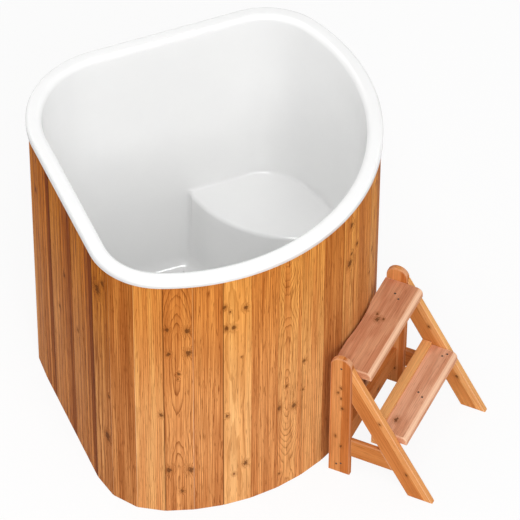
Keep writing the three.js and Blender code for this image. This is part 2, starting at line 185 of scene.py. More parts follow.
def planRing(bm, plan):
    spacing = linerMesh["spacing"]
    turn = math.radians(45)
    root = math.sqrt(0.5)
    cornerRadius, shoulderRadius = plan["cornerRadius"], plan["shoulderRadius"]
    sideEnd = Vector((cornerRadius * (1 - root), cornerRadius * root, 0))
    sideEnd += Vector((root, root, 0)) * plan["sideLength"]
    shoulder = sideEnd + Vector((root, -root, 0)) * shoulderRadius
    setback = (shoulder.y ** 2 - plan["frontBulge"] ** 2) / (2 * plan["frontBulge"])
    frontRadius = setback + plan["frontBulge"] + shoulderRadius
    frontAngle = math.atan2(shoulder.y, setback)
    frontCentre = Vector((shoulder.x - setback, 0, 0))

    def sweep(vertex, centre, radius, angle):
        steps = round(radius * angle / spacing)
        made = bmesh.ops.spin(bm, geom=[vertex], cent=centre, axis=upAxis, angle=-angle, steps=steps)
        return next(v for v in made["geom_last"] if isinstance(v, bmesh.types.BMVert))

    vertex = sweep(bm.verts.new((0, 0, 0)), Vector((cornerRadius, 0, 0)), cornerRadius, turn)
    side = bmesh.ops.extrude_vert_indiv(bm, verts=[vertex])
    vertex = side["verts"][0]
    bmesh.ops.translate(bm, verts=[vertex], vec=sideEnd - vertex.co)
    vertex = sweep(vertex, shoulder, shoulderRadius, 3 * turn - frontAngle)
    sweep(vertex, frontCentre, frontRadius, frontAngle)
    bmesh.ops.subdivide_edges(bm, edges=side["edges"], cuts=round(plan["sideLength"] / spacing) - 1)
    bmesh.ops.mirror(bm, geom=bm.verts[:] + bm.edges[:], matrix=Matrix.Identity(4), merge_dist=0.01, axis="Y")
    bmesh.ops.remove_doubles(bm, verts=bm.verts, dist=0.01)
    return shoulder


def walkRing(bm):
    first = min(bm.verts, key=lambda v: v.co.x)
    ring = [first]
    step = max(first.link_edges, key=lambda e: e.other_vert(first).co.y)
    while True:
        vertex = step.other_vert(ring[-1])
        if vertex is first:
            return ring
        ring.append(vertex)
        step = next(e for e in vertex.link_edges if e is not step)


def inwardNormals(points):
    count = len(points)
    normals = []
    for k in range(count):
        along = points[(k + 1) % count] - points[k - 1]
        normals.append(Vector((along.y, -along.x, 0)).normalized())
    return normals


def quarterTurn(steps):
    return [math.radians(90) * k / steps for k in range(1, steps + 1)]


def fade(value, low, high):
    share = min(max((value - low) / (high - low), 0), 1)
    return share * share * (3 - 2 * share)


def seatOutline(plan, shoulder, wall):
    count = len(wall)
    centre = Vector((shoulder.x, wallTop(plan, shoulder) - plan["seatDepth"] + plan["seatFrontRadius"], 0))
    flat = [Vector((p.x, p.y, 0)) for p in wall]
    inside = [k for k in range(count) if (flat[k] - centre).length < plan["seatFrontRadius"]]
    ends = [flat[inside[0]] - centre, flat[inside[-1]] - centre]
    angles = [math.atan2(e.y, e.x) for e in ends]
    outline = list(flat)
    for place, k in enumerate(inside):
        share = place / (len(inside) - 1)
        angle = angles[0] + (angles[1] - angles[0]) * share
        outline[k] = centre + Vector((math.cos(angle), math.sin(angle), 0)) * plan["seatFrontRadius"]
    near = [k + j for k in (inside[0], inside[-1])
            for j in range(-linerMesh["cornerReach"], linerMesh["cornerReach"] + 1)]
    for _ in range(linerMesh["cornerSmoothing"]):  # rounds the two corners where the seat meets the wall
        before = list(outline)
        for k in near:
            outline[k] = before[k] / 2 + (before[k - 1] + before[(k + 1) % count]) / 4
    return outline


def wallInset(plan, z):
    lean = plan["wallDraft"] * (plan["rimTop"] - z) / (plan["rimTop"] - plan["floorTop"])
    return plan["rimWidth"] - plan["rimOverhang"] + lean


def wallTop(plan, shoulder):
    return shoulder.y + plan["shoulderRadius"] - wallInset(plan, plan["seatHeight"])


def linerLevels(plan, base, normals, shoulder):
    rounds, seatHigh = linerMesh["roundLevels"], plan["seatHeight"]
    wallAt = lambda z: [p + n * wallInset(plan, z) + upAxis * z for p, n in zip(base, normals)]
    ringAt = lambda inset, z: [p + n * inset + upAxis * z for p, n in zip(base, normals)]
    outer, inner = -plan["rimOverhang"], plan["rimWidth"] - plan["rimOverhang"]
    top, r, soft = plan["rimTop"], plan["rimRound"], plan["rimInnerRound"]
    turns = [(1 - math.cos(a), 1 - math.sin(a)) for a in quarterTurn(rounds)]
    levels = [ringAt(outer, top - plan["rimDrop"]), ringAt(outer, top - r)]
    levels += [ringAt(outer + r * run, top - r * drop) for run, drop in turns]
    levels += [ringAt((outer + r + inner - soft) / 2, top), ringAt(inner - soft, top)]
    levels += [ringAt(inner - soft * drop, top - soft * run) for run, drop in turns]

    fillet, edge = plan["seatBackFillet"], plan["seatEdgeRound"]
    wallStart, wallEnd = top - soft, seatHigh + fillet
    count = linerMesh["wallLevels"]
    levels += [wallAt(wallStart + (wallEnd - wallStart) * k / count) for k in range(1, count + 1)]

    # Over the seat: back fillet, top and front edge. Elsewhere the same levels just go down the wall
    foot = plan["floorTop"] + plan["floorFillet"]
    front = seatOutline(plan, shoulder, wallAt(foot))
    back = wallAt(seatHigh)
    path = [("fillet", a) for a in quarterTurn(rounds)]
    path += [("top", k / linerMesh["topLevels"]) for k in range(1, linerMesh["topLevels"] + 1)]
    path += [("edge", a) for a in quarterTurn(rounds)]
    for number, (part, value) in enumerate(path, 1):
        plain = wallAt(wallEnd - (fillet + edge) * number / len(path))
        level = []
        for k, start in enumerate(back):
            depth = Vector((front[k].x - start.x, front[k].y - start.y, 0))
            reach = depth.length
            f, e = min(fillet, reach / 2), min(edge, reach / 2)
            run, rise = dict(
                fillet=lambda: (f * (1 - math.cos(value)), f * (1 - math.sin(value))),
                top=lambda: (f + (reach - e - f) * value, 0),
                edge=lambda: (reach - e * (1 - math.sin(value)), -e * (1 - math.cos(value))),
            )[part]()
            seat = start + depth.normalized() * run + upAxis * rise
            level.append(plain[k].lerp(seat, fade(reach, *linerMesh["seatFade"])))
        levels.append(level)

    last = levels[-1]
    low = [Vector((p.x, p.y, foot)) for p in front]
    count = linerMesh["frontLevels"]
    levels += [[a.lerp(b, k / count) for a, b in zip(last, low)] for k in range(1, count + 1)]
    r = plan["floorFillet"]
    towards = inwardNormals(low)
    levels += [[p + n * r * (1 - math.cos(a)) - upAxis * r * math.sin(a) for p, n in zip(low, towards)]
               for a in quarterTurn(rounds)]
    return levels


def makeLiner():
    plan = tubPlan
    bm = bmesh.new()
    shoulder = planRing(bm, plan)
    ring = walkRing(bm)
    base = [v.co.copy() for v in ring]
    levels = linerLevels(plan, base, inwardNormals(base), shoulder)
    for vertex, place in zip(ring, levels[0]):
        vertex.co = place
    edges = bm.edges[:]
    for level in levels[1:]:
        made = bmesh.ops.extrude_edge_only(bm, edges=edges)["geom"]
        edges = [g for g in made if isinstance(g, bmesh.types.BMEdge) and len(g.link_faces) == 1]
        fresh = {v for e in edges for v in e.verts}
        below = {}
        for vertex in fresh:
            joined = (e.other_vert(vertex) for e in vertex.link_edges)
            below[next(v for v in joined if v not in fresh)] = vertex
        ring = [below[v] for v in ring]
        for vertex, place in zip(ring, level):
            vertex.co = place

    circle = bmesh.ops.create_circle(bm, segments=linerMesh["drainSegments"], radius=drainHole["radius"])
    hole = circle["verts"]
    place = Vector((drainHole["setback"], 0, plan["floorTop"]))
    bmesh.ops.translate(bm, verts=hole, vec=place)
    rims = edges + list({e for v in hole for e in v.link_edges})
    bmesh.ops.triangle_fill(bm, edges=rims, use_beauty=True, normal=upAxis)
    bmesh.ops.recalc_face_normals(bm, faces=bm.faces)
    bmesh.ops.scale(bm, verts=bm.verts, vec=(mm, mm, mm))
    bmesh.ops.translate(bm, verts=bm.verts, vec=backCorner)
    topFace = max(bm.faces, key=lambda f: f.calc_center_median().z)
    if topFace.normal.z < 0:
        bmesh.ops.reverse_faces(bm, faces=bm.faces)
    shadeSmooth(bm, 60)
    liner = finishPiece("liner_moulding", bm, gelcoat(), "tub", ["liner"])
    wall = liner.modifiers.new("shell thickness", "SOLIDIFY")
    wall.thickness = plan["shell"] * mm
    wall.offset = -1


strainerLow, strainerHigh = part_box("drain_strainer")
drainHole = dict(radius=24.3, setback=((strainerLow.x + strainerHigh.x) / 2 - backCorner.x) / mm)
makeLiner()
print("liner moulded")


# Larch boards: each is sawn from its own log, so its figure comes from where the pith lies behind the face
woodLook = dict(fibreWidth=2.2, fibreLength=240, dashWidth=2.6, dashLength=48, poreWidth=0.8, poreLength=30,
                swayLength=300, waverWidth=16, waverLength=190, knotStretch=1.4, knotWarp=4.5, deepest=100,
                seamWidth=2.2, seamShade="#5E3314", knotCore="#653C22", knotHalo="#9A5A2C", paintedTopShade="#F2E0B0",
                paintedEdgeHighlight="#FFD3B0", roughness=0.55)
# earlywood, latewood and heartwood streak of a board
woodTones = dict(
    straw=("#FCC382", "#C6854A", "#F2B170"),
    honey=("#F8BA77", "#B57340", "#E9A264"),
    amber=("#F0AA6A", "#A66436", "#DA9156"),
    tan=("#E49D5F", "#9A5A30", "#C97F47"),
    copper=("#D98F50", "#935027", "#C0743B"),
    russet=("#CB8047", "#824620", "#AE6632"),
    cinnamon=("#F0A25E", "#8E5426", "#CA7E46"),
    rose=("#DDA27C", "#A9694A", "#CC8A66"),
    blush=("#EDB390", "#BC7B5B", "#DD9C78"),
    treated=("#B3A56E", "#7F7142", "#9C8D58"),
)
ringProfile = ((0.0, 0.0), (0.58, 0.07), (0.78, 0.45), (0.89, 1.0), (0.97, 1.0), (1.0, 0.0))
fibreTints = ((0.33, "#BBA28E"), (0.6, "#FFFFFF"))
dashTints = ((0.28, "#A0826A"), (0.42, "#FFFFFF"))


def sawnLarch(name, centre, along, across, look):
    material, add, place = newMaterial(name)
    mix = partial(add, "Mix", output="Result", data_type="RGBA")
    rng = random.Random(look["seed"])
    early, late, heart = (hexColour(code) for code in woodTones[look["tone"]])
    seed = [rng.uniform(0, 50) for _ in range(3)]
    through = along.cross(across)
    turn = Matrix((across, through, along)).transposed().to_euler()
    board = add("Mapping", {"Vector": place, "Location": centre, "Rotation": turn}, vector_type="TEXTURE")
    sideways = add("SeparateXYZ", {"Vector": board}, output="X")
    lengthways = add("SeparateXYZ", {"Vector": board}, output="Z")

    def grain(width, length, detail, output=0):
        stretched = add("Mapping", {"Vector": board, "Location": seed,
                                    "Scale": (1 / (width * mm), 1 / (width * mm), 1 / (length * mm))})
        return add("TexNoise", {"Vector": stretched, "Scale": 1.0, "Detail": detail}, output=output)

    # knots: how many knot radii the nearest one is away, with a ragged edge
    away = 99.0
    for kx, kz, radius in look["knots"]:
        spot = add("Mapping", {"Vector": board, "Location": (kx * mm, 0, kz * mm),
                               "Scale": (radius * mm, 1, radius * woodLook["knotStretch"] * mm)},
                   vector_type="TEXTURE")
        far = add("VectorMath", {0: spot}, output="Value", operation="LENGTH")
        away = add("Math", {0: far, 1: away}, operation="MINIMUM")
    ragged = add("Math", {0: grain(woodLook["knotWarp"], woodLook["knotWarp"], 2), 1: 2.2, 2: away},
                 operation="MULTIPLY_ADD")
    core = add("MapRange", {"Value": ragged, "From Min": 1.6, "From Max": 2.3, "To Min": 1, "To Max": 0},
               interpolation_type="SMOOTHSTEP")
    halo = add("MapRange", {"Value": ragged, "From Min": 1.8, "From Max": 4.2, "To Min": 1, "To Max": 0},
               interpolation_type="SMOOTHSTEP")

    # growth rings round the pith, whose depth behind the face changes along the board
    half = look["length"] / 2
    share = add("MapRange", {"Value": lengthways, "From Min": -half * mm, "From Max": half * mm})
    depth = add("ValToRGB", {"Fac": share}, stops=look["figure"], blend="B_SPLINE")
    depth = add("Math", {0: depth, 1: woodLook["deepest"] * mm}, operation="MULTIPLY")
    pith = add("CombineXYZ", {"X": look["pith"] * mm, "Y": depth})
    fromPith = add("VectorMath", {0: board, 1: (1, 1, 0), 2: pith}, operation="MULTIPLY_ADD")
    swaying = grain(woodLook["swayLength"] / 2, woodLook["swayLength"], 1.5, output=1)
    sway = (look["sway"] * mm, look["sway"] * mm, 0)
    fromPith = add("VectorMath", {0: swaying, 1: sway, 2: fromPith}, operation="MULTIPLY_ADD")
    reach = add("VectorMath", {0: fromPith}, output="Value", operation="LENGTH")
    pushed = add("Math", {0: halo, 1: 9 * mm, 2: reach}, operation="MULTIPLY_ADD")
    waver = add("Math", {0: grain(woodLook["waverWidth"], woodLook["waverLength"], 2), 1: look["waver"]},
                operation="MULTIPLY")
    rings = add("Math", {0: pushed, 1: 1 / (look["rings"] * mm), 2: waver}, operation="MULTIPLY_ADD")
    ring = add("ValToRGB", {"Fac": add("Math", {0: rings}, operation="FRACT")}, stops=ringProfile)
    number = add("Math", {0: rings}, operation="FLOOR")
    strength = add("MapRange", {"Value": add("TexWhiteNoise", {"W": number}, noise_dimensions="1D"),
                                "To Min": 0.3 * look["lines"], "To Max": look["lines"]})
    lateShare = add("Math", {0: ring, 1: strength}, operation="MULTIPLY")

    # colour: earlywood, heartwood streaks, latewood lines, fibre, bands of heartwood or painted shade, knots,
    # seams and painted shade towards the top
    streak = add("MapRange", {"Value": grain(*look["streak"], 2), "From Min": 0.38, "From Max": 0.62,
                              "To Max": look["heart"]}, interpolation_type="SMOOTHSTEP")
    colour = mix({"Factor": streak, "A": early, "B": heart})
    colour = mix({"Factor": lateShare, "A": colour, "B": late})
    fibre = grain(woodLook["fibreWidth"], woodLook["fibreLength"], 3)
    dash = grain(woodLook["dashWidth"], woodLook["dashLength"], 2)
    for noise, tints in ((fibre, fibreTints), (dash, dashTints)):
        tint = add("ValToRGB", {"Fac": noise}, stops=tints)
        colour = mix({"Factor": look["fibre"], "A": colour, "B": tint}, blend_type="MULTIPLY")
    for start, end, tone in look.get("bands", ()):  # heartwood bands with crisp edges, and bands of painted shade beside a stave's bead
        wander = add("Math", {0: grain(30, 240, 1), 1: 5 * mm, 2: sideways}, operation="MULTIPLY_ADD")
        rise = add("MapRange", {"Value": wander, "From Min": (start + 1.8) * mm,
                                "From Max": (start + 3.2) * mm})
        fall = add("MapRange", {"Value": wander, "From Min": (end + 1.8) * mm, "From Max": (end + 3.2) * mm,
                                "To Min": 0.9, "To Max": 0})
        band = add("Math", {0: rise, 1: fall}, operation="MULTIPLY")
        colour = mix({"Factor": band, "A": colour, "B": hexColour(tone)}, blend_type="MULTIPLY")
    for share, amount, tone in ((halo, 0.45, woodLook["knotHalo"]), (core, 0.82, woodLook["knotCore"])):
        dark = add("Math", {0: share, 1: amount}, operation="MULTIPLY")
        colour = mix({"Factor": dark, "A": colour, "B": hexColour(tone)})
    edge = look["width"] / 2
    for side, amount in zip((-mm, mm), look["seams"]):
        seam = add("MapRange", {"Value": sideways, "From Min": (edge - woodLook["seamWidth"]) * side,
                                "From Max": (edge - 0.6) * side, "To Max": amount})
        colour = mix({"Factor": seam, "A": colour, "B": hexColour(woodLook["seamShade"])})
    if look.get("paintedBevelHighlight"):  # painted highlight where a planed bevel catches the light, on the right (1) or the left (-1)
        side = look["paintedBevelHighlight"] * mm
        bevel = add("MapRange", {"Value": sideways, "From Min": (edge - 3.5) * side,
                                 "From Max": (edge - 2.5) * side, "To Max": 0.3})
        colour = mix({"Factor": bevel, "A": colour, "B": hexColour(woodLook["paintedEdgeHighlight"])})
    # painted shade: the board grows darker towards its top end
    paintedTopShade = add("MapRange", {"Value": lengthways, "From Min": -0.5 * half * mm, "From Max": half * mm,
                            "To Max": look["paintedTopShade"]}, interpolation_type="SMOOTHSTEP")
    colour = mix({"Factor": paintedTopShade, "A": colour, "B": hexColour(woodLook["paintedTopShade"])}, blend_type="MULTIPLY",
                 clamp_factor=False)
    if look["paintedEdgeHighlight"]:  # painted highlight on the arrises, paler than the faces beside them
        facing = add("NewGeometry", output="True Normal")
        flat = 0.0
        for axis in (across, through, along):
            lies = add("VectorMath", {0: facing, 1: axis}, output="Value", operation="DOT_PRODUCT")
            lies = add("Math", {0: lies}, operation="ABSOLUTE")
            flat = add("Math", {0: lies, 1: flat}, operation="MAXIMUM")
        paintedHighlightShare = add("MapRange", {"Value": flat, "From Min": 0.86, "From Max": 0.97, "To Min": look["paintedEdgeHighlight"],
                                  "To Max": 0})
        colour = mix({"Factor": paintedHighlightShare, "A": colour, "B": hexColour(woodLook["paintedEdgeHighlight"])})

    pores = grain(woodLook["poreWidth"], woodLook["poreLength"], 2)
    height = add("Math", {0: lateShare, 1: 0.6, 2: pores}, operation="MULTIPLY_ADD")
    height = add("Math", {0: core, 1: -0.8, 2: height}, operation="MULTIPLY_ADD")
    bump = add("Bump", {"Height": height, "Strength": 0.35, "Distance": 0.35 * mm})
    gloss = add("MapRange", {"Value": lateShare, "To Min": woodLook["roughness"],
                             "To Max": woodLook["roughness"] - 0.12})
    shader = add("BsdfPrincipled", {"Base Color": colour, "Roughness": gloss, "Normal": bump, "IOR": 1.5,
                                    "Specular IOR Level": 0.01})
    add("OutputMaterial", {"Surface": shader})
    return material


# Staves that face the camera, each with its own saw cut and knots. The others follow the same spread
# figure: pith depth along the board, from its foot at 0 to its top at 1. rings: wider than life, as seen
staveSize = dict(width=91, length=1020, paintedTopShade=1.0, fibre=0.9, paintedEdgeHighlight=0)
straight = ((0.0, 0.3), (0.5, 0.34), (1.0, 0.28))
plainStave = dict(tone="tan", pith=70, figure=straight, sway=8, rings=6.5, waver=0.9, lines=0.9,
                  seams=(0.25, 0.25), streak=(26, 900), heart=1.0, knots=())
sideStave = dict(plainStave, tone="amber", sway=12, rings=22, lines=1.0, seams=(0.5, 0.5), streak=(40, 900),
                 paintedTopShade=1.35)
# painted shade: the side of a stave that lies in the shade of the next stave's bead
paintedBeadShade = ((14, 60, "#BFA896"),)
staveLooks = {
    18: dict(plainStave),
    19: dict(plainStave, tone="honey", pith=10, figure=((0, 0.3), (0.4, 0.6), (0.7, 0.2), (1, 0.5)), sway=20,
             rings=8, knots=((8, 160, 7), (34, 84, 5))),
    20: dict(plainStave, tone="amber", pith=60),
    21: dict(plainStave, tone="honey", pith=-20, sway=18, rings=10,
             knots=((-8, 268, 12), (2, 300, 6), (34, 316, 6), (-2, 426, 8))),
    22: dict(plainStave, pith=75, sway=10),
    23: dict(plainStave, tone="honey", pith=90, rings=8, seams=(0.45, 0.25),
             knots=((-38, 8, 6), (-41, -118, 3.5))),
    24: dict(plainStave, tone="honey", pith=6, sway=10, rings=5.5, waver=1.3, seams=(0.2, 0.4),
             figure=((0, 0.5), (0.12, 0.66), (0.3, 0.14), (0.43, 0.06), (0.54, 0.32), (0.68, 0.3),
                     (0.79, 0.62), (0.95, 0.14), (1, 0.1)),
             knots=((-13, -64, 5), (-41, -147, 8), (15, -170, 8), (-38, -450, 4))),
    25: dict(plainStave, tone="amber", pith=-95, rings=6, seams=(0.1, 0.2)),
    26: dict(plainStave, tone="straw", pith=8, sway=12, rings=10, seams=(0.75, 0.1), lines=0.8, fibre=0.6,
             figure=((0, 0.5), (0.4, 0.62), (0.7, 0.5), (1, 0.6)),
             knots=((-41, 376, 6), (-24, 352, 3.5), (26, 353, 7), (-36, 284, 7), (-12, 280, 7),
                    (13, 143, 2.5), (-34, -104, 5), (26, -340, 7), (-11, -378, 4))),
    27: dict(plainStave, tone="amber", pith=110, rings=6, seams=(0, 0.75)),
    28: dict(plainStave, tone="amber", pith=0, sway=9, rings=7.5, waver=1.1, seams=(0.75, 0), lines=1.0,
             paintedBevelHighlight=1,
             figure=((0, 0.14), (0.12, 0.05), (0.2, 0.12), (0.36, 0.42), (0.5, 0.2), (0.62, 0.16),
                     (0.74, 0.06), (0.86, 0.28), (1, 0.6)),
             knots=((28, 298, 9), (31, 201, 9), (-33, 306, 6), (-30, 200, 6), (-1, 111, 5), (-2, 88, 3),
                    (-33, -320, 9), (34, -324, 10), (6, -420, 5))),
    29: dict(plainStave, tone="honey", pith=-90, rings=6, seams=(0.25, 0.75), fibre=0.65, paintedBevelHighlight=-1,
             knots=((36, -70, 6),)),
    30: dict(plainStave, pith=85, rings=8, paintedBevelHighlight=-1),
    31: dict(sideStave, pith=30, sway=16, rings=14, paintedBevelHighlight=-1,
             knots=((17, 412, 9), (-12, 364, 15), (38, -64, 6), (22, -258, 13))),
    32: dict(sideStave, tone="cinnamon", pith=70, bands=paintedBeadShade),
    33: dict(sideStave, pith=-60, paintedBevelHighlight=-1, knots=((0, 20, 6),)),
    34: dict(sideStave, tone="cinnamon", pith=80, bands=paintedBeadShade, knots=((-20, 160, 8),)),
    35: dict(sideStave, pith=-70, paintedBevelHighlight=-1, knots=((18, -30, 6),)),
    36: dict(sideStave, tone="cinnamon", pith=70, bands=paintedBeadShade),
    37: dict(sideStave, pith=-80, rings=24, knots=((10, 300, 7),)),
    38: dict(sideStave, tone="russet", pith=70, rings=24),
}
sideTones = ("tan", "copper", "amber")


def dressStaves():
    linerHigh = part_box("liner")[1]
    tubMiddle = (linerLow + linerHigh) / 2
    names = sorted(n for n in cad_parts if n.startswith("stave_"))
    for number, name in enumerate(names, 1):
        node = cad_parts[name]
        points = [v.co for v in node.data.vertices]
        centre = sum(points, Vector()) / len(points)
        low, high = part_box(name)
        centre.z = (low.z + high.z) / 2
        off = [p - centre for p in points]
        xx, yy, xy = (sum(p[a] * p[b] for p in off) for a, b in ((0, 0), (1, 1), (0, 1)))
        turn = math.atan2(2 * xy, xx - yy) / 2
        across = Vector((math.cos(turn), math.sin(turn), 0))
        outward = across.cross(upAxis)
        if outward.dot(centre - tubMiddle) < 0:
            outward.negate()
        reach = max(p.dot(outward) for p in points)
        face = [p.dot(across) for p in points if reach - p.dot(outward) < 1.2 * mm]
        centre += across * ((min(face) + max(face)) / 2 - centre.dot(across))
        rng = random.Random(number)
        spread = dict(plainStave, tone=sideTones[number % 3], sway=rng.uniform(5, 16),
                      rings=rng.uniform(7, 12), pith=rng.choice((-1, 1)) * rng.uniform(10, 100),
                      figure=[(k / 4, rng.uniform(0.15, 0.5)) for k in range(5)],
                      knots=[(rng.uniform(-40, 40), rng.uniform(-480, 480), rng.uniform(3, 6))
                             for _ in range(rng.randrange(4))])
        look = dict(staveSize, seed=number, **staveLooks.get(number, spread))
        material = sawnLarch(f"sawn_larch_stave_{number:02d}", centre, upAxis, across, look)
        node.material_slots[0].material = material


dressStaves()
print("staves dressed")


# Step unit: planed boards with eased edges, turned a little round the front of the tub
stepUnit = dict(turn=-2.1, legLean=30.6, origin=(367.075, -24.208, 0))
unitTurn = Matrix.Rotation(math.radians(stepUnit["turn"]), 3, "Z")
outwards, sideways = unitTurn @ Vector((1, 0, 0)), unitTurn @ Vector((0, 1, 0))
unitOrigin = Vector(stepUnit["origin"]) * mm
legLean = math.radians(stepUnit["legLean"])
legAlong = upAxis * math.cos(legLean) - outwards * math.sin(legLean)
legAcross = outwards * math.cos(legLean) + upAxis * math.sin(legLean)
bandShade, bandBlush, legShade = "#E4C9AE", "#F6DFD0", "#E2CCB5"
frameBoard = dict(tone="amber", width=72, length=540, figure=straight, sway=12, rings=9, waver=1, lines=0.16,
                  heart=0.5, fibre=0.4, streak=(24, 260), seams=(0, 0), paintedTopShade=0, paintedEdgeHighlight=0.35, along=upAxis,
                  across=outwards)
legBoard = dict(frameBoard, pith=80, paintedTopShade=0.15, along=legAlong, across=legAcross,
                bands=((-120, -22, legShade),))
railBoard = dict(frameBoard, tone="copper", width=74, length=400, pith=60, across=upAxis)
treadBoard = dict(frameBoard, length=405, lines=0.12, heart=0.9, fibre=0.42, streak=(34, 150), paintedEdgeHighlight=0.8,
                  along=sideways)
stepBoards = {
    "step_post_left": dict(frameBoard, tone="tan", pith=-90,
                           bands=((4, 60, bandShade), (-60, -28, bandBlush)),
                           knots=((2, 130, 4.5), (-8, 106, 4), (3, 84, 3.5), (8, 40, 5), (-14, -94, 4),
                                  (6, -134, 4))),
    "step_post_right": dict(frameBoard, pith=-90, knots=((-12, 60, 5), (4, -190, 4)),
                            bands=((16, 60, bandShade),)),
    "step_leg_left": dict(legBoard, knots=((-16, 60, 4), (-30, -150, 4))),
    "step_leg_right": dict(legBoard, tone="honey", knots=((-20, 90, 4), (-26, -120, 5))),
    "step_rail_left": dict(railBoard, along=outwards, knots=()),
    "step_rail_right": dict(railBoard, along=outwards, knots=()),
    "step_back_rail": dict(railBoard, along=sideways, knots=((10, -80, 6), (-14, 60, 7))),
    "step_upper_tread": dict(treadBoard, tone="rose", width=150, pith=10,
                             knots=((-14, 24, 7), (2, 30, 4), (-24, 44, 4))),
    "step_lower_tread": dict(treadBoard, tone="blush", width=110, pith=-8, knots=((-18, -140, 7),)),
    "step_riser": dict(railBoard, tone="honey", width=82, along=sideways, knots=((0, 40, 4),)),
}


def makeStepBoards():
    for number, (name, look) in enumerate(stepBoards.items(), 101):
        low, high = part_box(name)
        board = dict(look, seed=number)
        material = sawnLarch(f"planed_larch_{name}", (low + high) / 2, look["along"], look["across"], board)
        piece = finishPiece(f"{name}_board", easedCopy(name, 0), material, "steps", [name])
        keepFacesFlat(piece)


makeStepBoards()
print("step unit made")


# Stamped stainless: drawn through rolls, so long fine scratches stretch its highlights
steelLook = dict(light="#CDCFD1", dark="#A4A7AA", scratchWidth=0.25, scratchLength=40, roughness=0.3)


def brushedStainless():
    material, add, place = newMaterial("brushed_stainless_steel")
    fine, long = 1 / (steelLook["scratchWidth"] * mm), 1 / (steelLook["scratchLength"] * mm)
    stretched = add("Mapping", {"Vector": place, "Scale": (long, fine, fine)})
    scratch = add("TexNoise", {"Vector": stretched, "Scale": 1.0, "Detail": 3})
    tone = add("ValToRGB", {"Fac": scratch}, stops=((0.0, steelLook["light"]), (1.0, steelLook["dark"])))
    gloss = add("MapRange", {"Value": scratch, "To Min": steelLook["roughness"] - 0.08,
                             "To Max": steelLook["roughness"] + 0.12})
    bump = add("Bump", {"Height": scratch, "Strength": 0.2, "Distance": 0.05 * mm})
    shader = add("BsdfPrincipled", {"Base Color": tone, "Roughness": gloss, "Normal": bump, "Metallic": 1.0})
    add("OutputMaterial", {"Surface": shader})
    return material


# Cast brass: a sand mould leaves a fine pebbled skin, duller where it is rough
brassLook = dict(light="#D8B468", dark="#A07C3A", grainSize=1.2, stainSize=22, roughness=0.34)


def castBrass():
    material, add, place = newMaterial("sand_cast_brass")
    pebble = add("TexNoise", {"Vector": place, "Detail": 3, "Scale": 1 / (brassLook["grainSize"] * mm)})
    stain = add("TexNoise", {"Vector": place, "Detail": 2, "Scale": 1 / (brassLook["stainSize"] * mm)})
    tone = add("ValToRGB", {"Fac": stain}, stops=((0.35, brassLook["light"]), (0.7, brassLook["dark"])))
    gloss = add("MapRange", {"Value": stain, "To Min": brassLook["roughness"] - 0.06,
                             "To Max": brassLook["roughness"] + 0.16})
    bump = add("Bump", {"Height": pebble, "Strength": 0.3, "Distance": 0.15 * mm})
    shader = add("BsdfPrincipled", {"Base Color": tone, "Roughness": gloss, "Normal": bump, "Metallic": 1.0})
    add("OutputMaterial", {"Surface": shader})
    return material


# Moulded plastic: spark-eroded mould texture, a dull charcoal skin with a faint sheen
plasticLook = dict(light="#3F4244", dark="#2E3032", grainSize=0.7, cloudSize=30, roughness=0.5)


def mouldedPlastic():
    material, add, place = newMaterial("moulded_grey_plastic")
    spark = add("TexVoronoi", {"Vector": place, "Scale": 1 / (plasticLook["grainSize"] * mm)})
    cloud = add("TexNoise", {"Vector": place, "Detail": 2, "Scale": 1 / (plasticLook["cloudSize"] * mm)})
    tone = add("ValToRGB", {"Fac": cloud}, stops=((0.3, plasticLook["dark"]), (0.7, plasticLook["light"])))
    gloss = add("MapRange", {"Value": cloud, "To Min": plasticLook["roughness"] - 0.06,
                             "To Max": plasticLook["roughness"] + 0.1})
    bump = add("Bump", {"Height": spark, "Strength": 0.25, "Distance": 0.1 * mm})
    shader = add("BsdfPrincipled", {"Base Color": tone, "Roughness": gloss, "Normal": bump, "IOR": 1.48})
    add("OutputMaterial", {"Surface": shader})
    return material


# Plywood: peeled veneers glued crosswise, so its edge shows fine light and dark plies
plyLook = dict(light="#DDBB86", dark="#A97E4A", ply=1.5, grainWidth=4, grainLength=120, roughness=0.68)


def gluedPlywood():
    material, add, place = newMaterial("glued_birch_plywood")
    height = add("SeparateXYZ", {"Vector": place}, output="Z")
    ply = add("Math", {0: height, 1: 2 * plyLook["ply"] * mm}, operation="PINGPONG")
    ply = add("MapRange", {"Value": ply, "From Min": 0.8 * plyLook["ply"] * mm,
                           "From Max": 1.2 * plyLook["ply"] * mm, "To Max": 0.5})
    fine = 1 / (plyLook["grainWidth"] * mm)
    stretched = add("Mapping", {"Vector": place, "Scale": (1 / (plyLook["grainLength"] * mm), fine, fine)})
    veneer = add("TexNoise", {"Vector": stretched, "Scale": 1.0, "Detail": 3})
    shade = add("Math", {0: veneer, 1: 0.5, 2: ply}, operation="MULTIPLY_ADD")
    tone = add("Mix", {"Factor": shade, "A": hexColour(plyLook["light"]), "B": hexColour(plyLook["dark"])},
               output="Result", data_type="RGBA")
    bump = add("Bump", {"Height": veneer, "Strength": 0.3, "Distance": 0.2 * mm})
    shader = add("BsdfPrincipled", {"Base Color": tone, "Roughness": plyLook["roughness"], "Normal": bump})
    add("OutputMaterial", {"Surface": shader})
    return material


# Treated joists under the floor: the log model again, in the green-brown of pressure treatment
joistLook = dict(frameBoard, tone="treated", width=70, length=900, pith=20, lines=0.8, fibre=0.8,
                 knots=((10, 200, 8), (-12, -150, 9)))


def treatedJoist(name):
    low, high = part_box(name)
    root = math.sqrt(0.5)
    look = dict(joistLook, seed=len(name))
    return sawnLarch(f"treated_softwood_{name}", (low + high) / 2, Vector((-root, root, 0)), upAxis, look)


